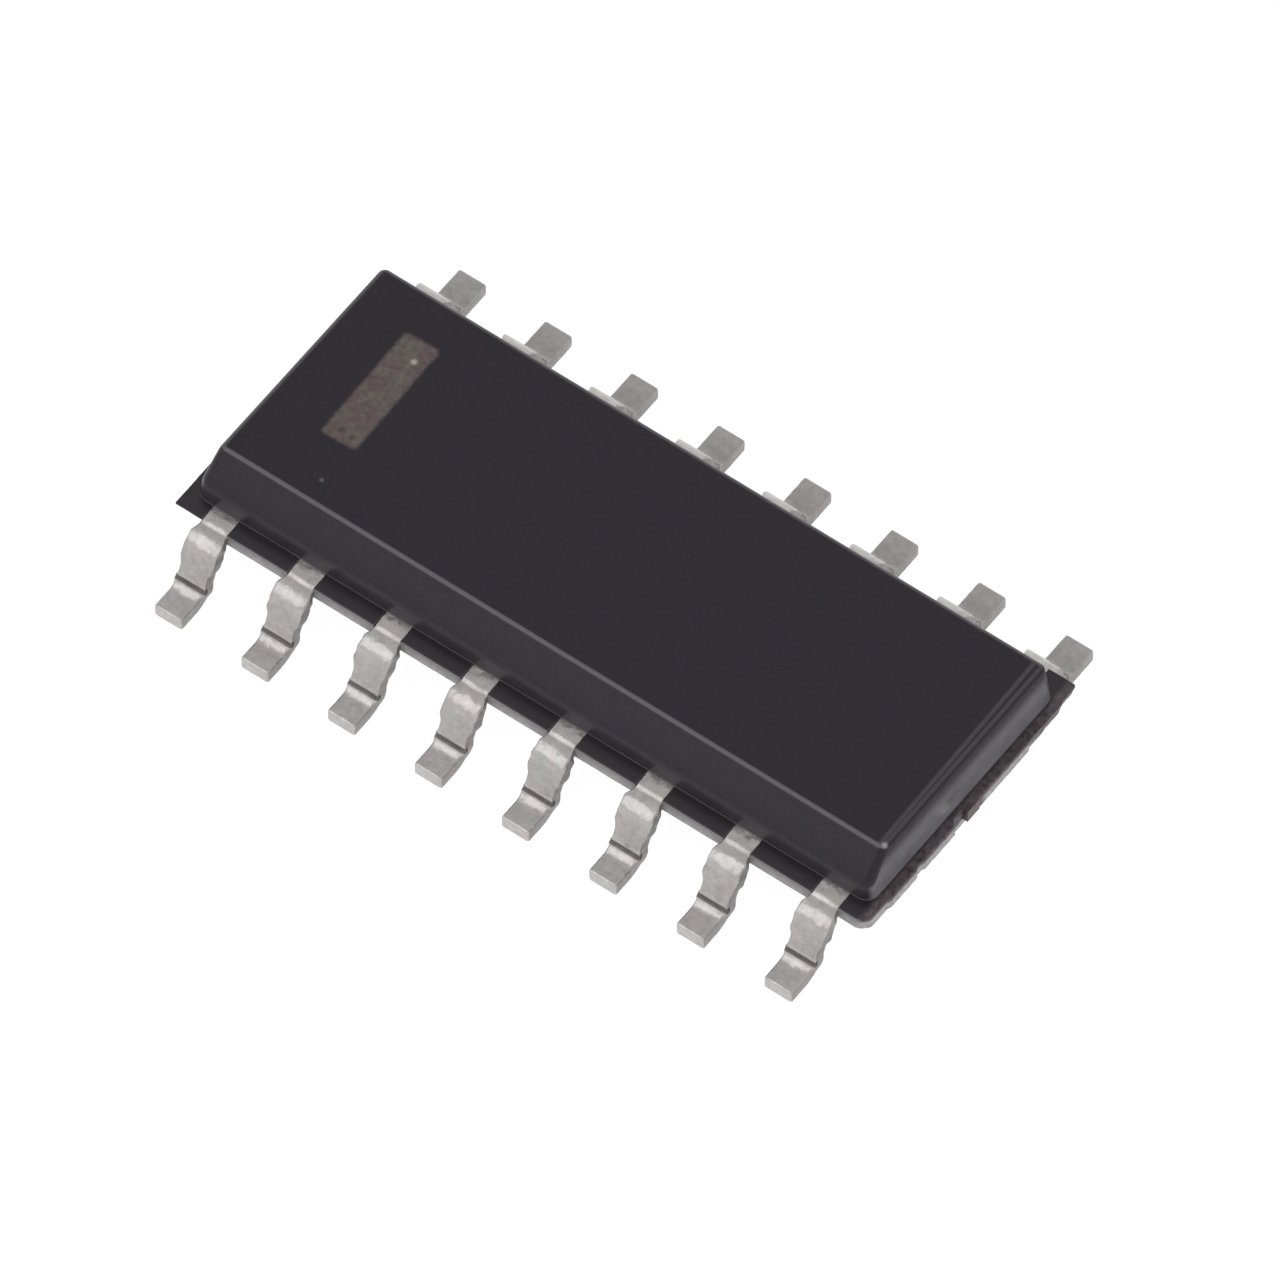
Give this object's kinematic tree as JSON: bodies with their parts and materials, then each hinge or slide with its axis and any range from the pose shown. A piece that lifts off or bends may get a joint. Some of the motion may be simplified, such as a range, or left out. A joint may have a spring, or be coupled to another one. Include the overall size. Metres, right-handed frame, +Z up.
{
  "type": "darlington transistor array",
  "caption": "Moulded small-outline transistor array with a bevelled side and two rows of gull-wing leads that solder flat to a board.",
  "frame": {"origin": "middle of the lead span, on the plane of the feet's undersides where the part stands on a board", "axes": "+Z up from the board, +X along the body's length away from the pin 1 end, +Y across the body away from the bevelled pin 1 side"},
  "size_m": [0.0102, 0.006, 0.0015],
  "materials": {
    "epoxy": "matt charcoal moulding compound",
    "tin_plate": "dull tin plate on copper alloy",
    "copper": "rolled copper alloy",
    "bond_layer": "silver-filled epoxy",
    "silicon": "polished silicon",
    "gold_wire": "drawn gold"
  },
  "bodies": {
    "root": {"mold_body": "epoxy", "lead_01": "tin_plate", "lead_02": "tin_plate", "lead_03": "tin_plate", "lead_04": "tin_plate", "lead_05": "tin_plate", "lead_06": "tin_plate", "lead_07": "tin_plate", "lead_08": "tin_plate", "lead_09": "tin_plate", "lead_10": "tin_plate", "lead_11": "tin_plate", "lead_12": "tin_plate", "lead_13": "tin_plate", "lead_14": "tin_plate", "lead_15": "tin_plate", "lead_16": "tin_plate", "die_paddle": "copper", "die_attach": "bond_layer", "die": "silicon", "bond_wire_01": "gold_wire", "bond_wire_02": "gold_wire", "bond_wire_03": "gold_wire", "bond_wire_04": "gold_wire", "bond_wire_05": "gold_wire", "bond_wire_06": "gold_wire", "bond_wire_07": "gold_wire", "bond_wire_08": "gold_wire", "bond_wire_09": "gold_wire", "bond_wire_10": "gold_wire", "bond_wire_11": "gold_wire", "bond_wire_12": "gold_wire", "bond_wire_13": "gold_wire", "bond_wire_14": "gold_wire", "bond_wire_15": "gold_wire", "bond_wire_16": "gold_wire"}
  },
  "joints": []
}
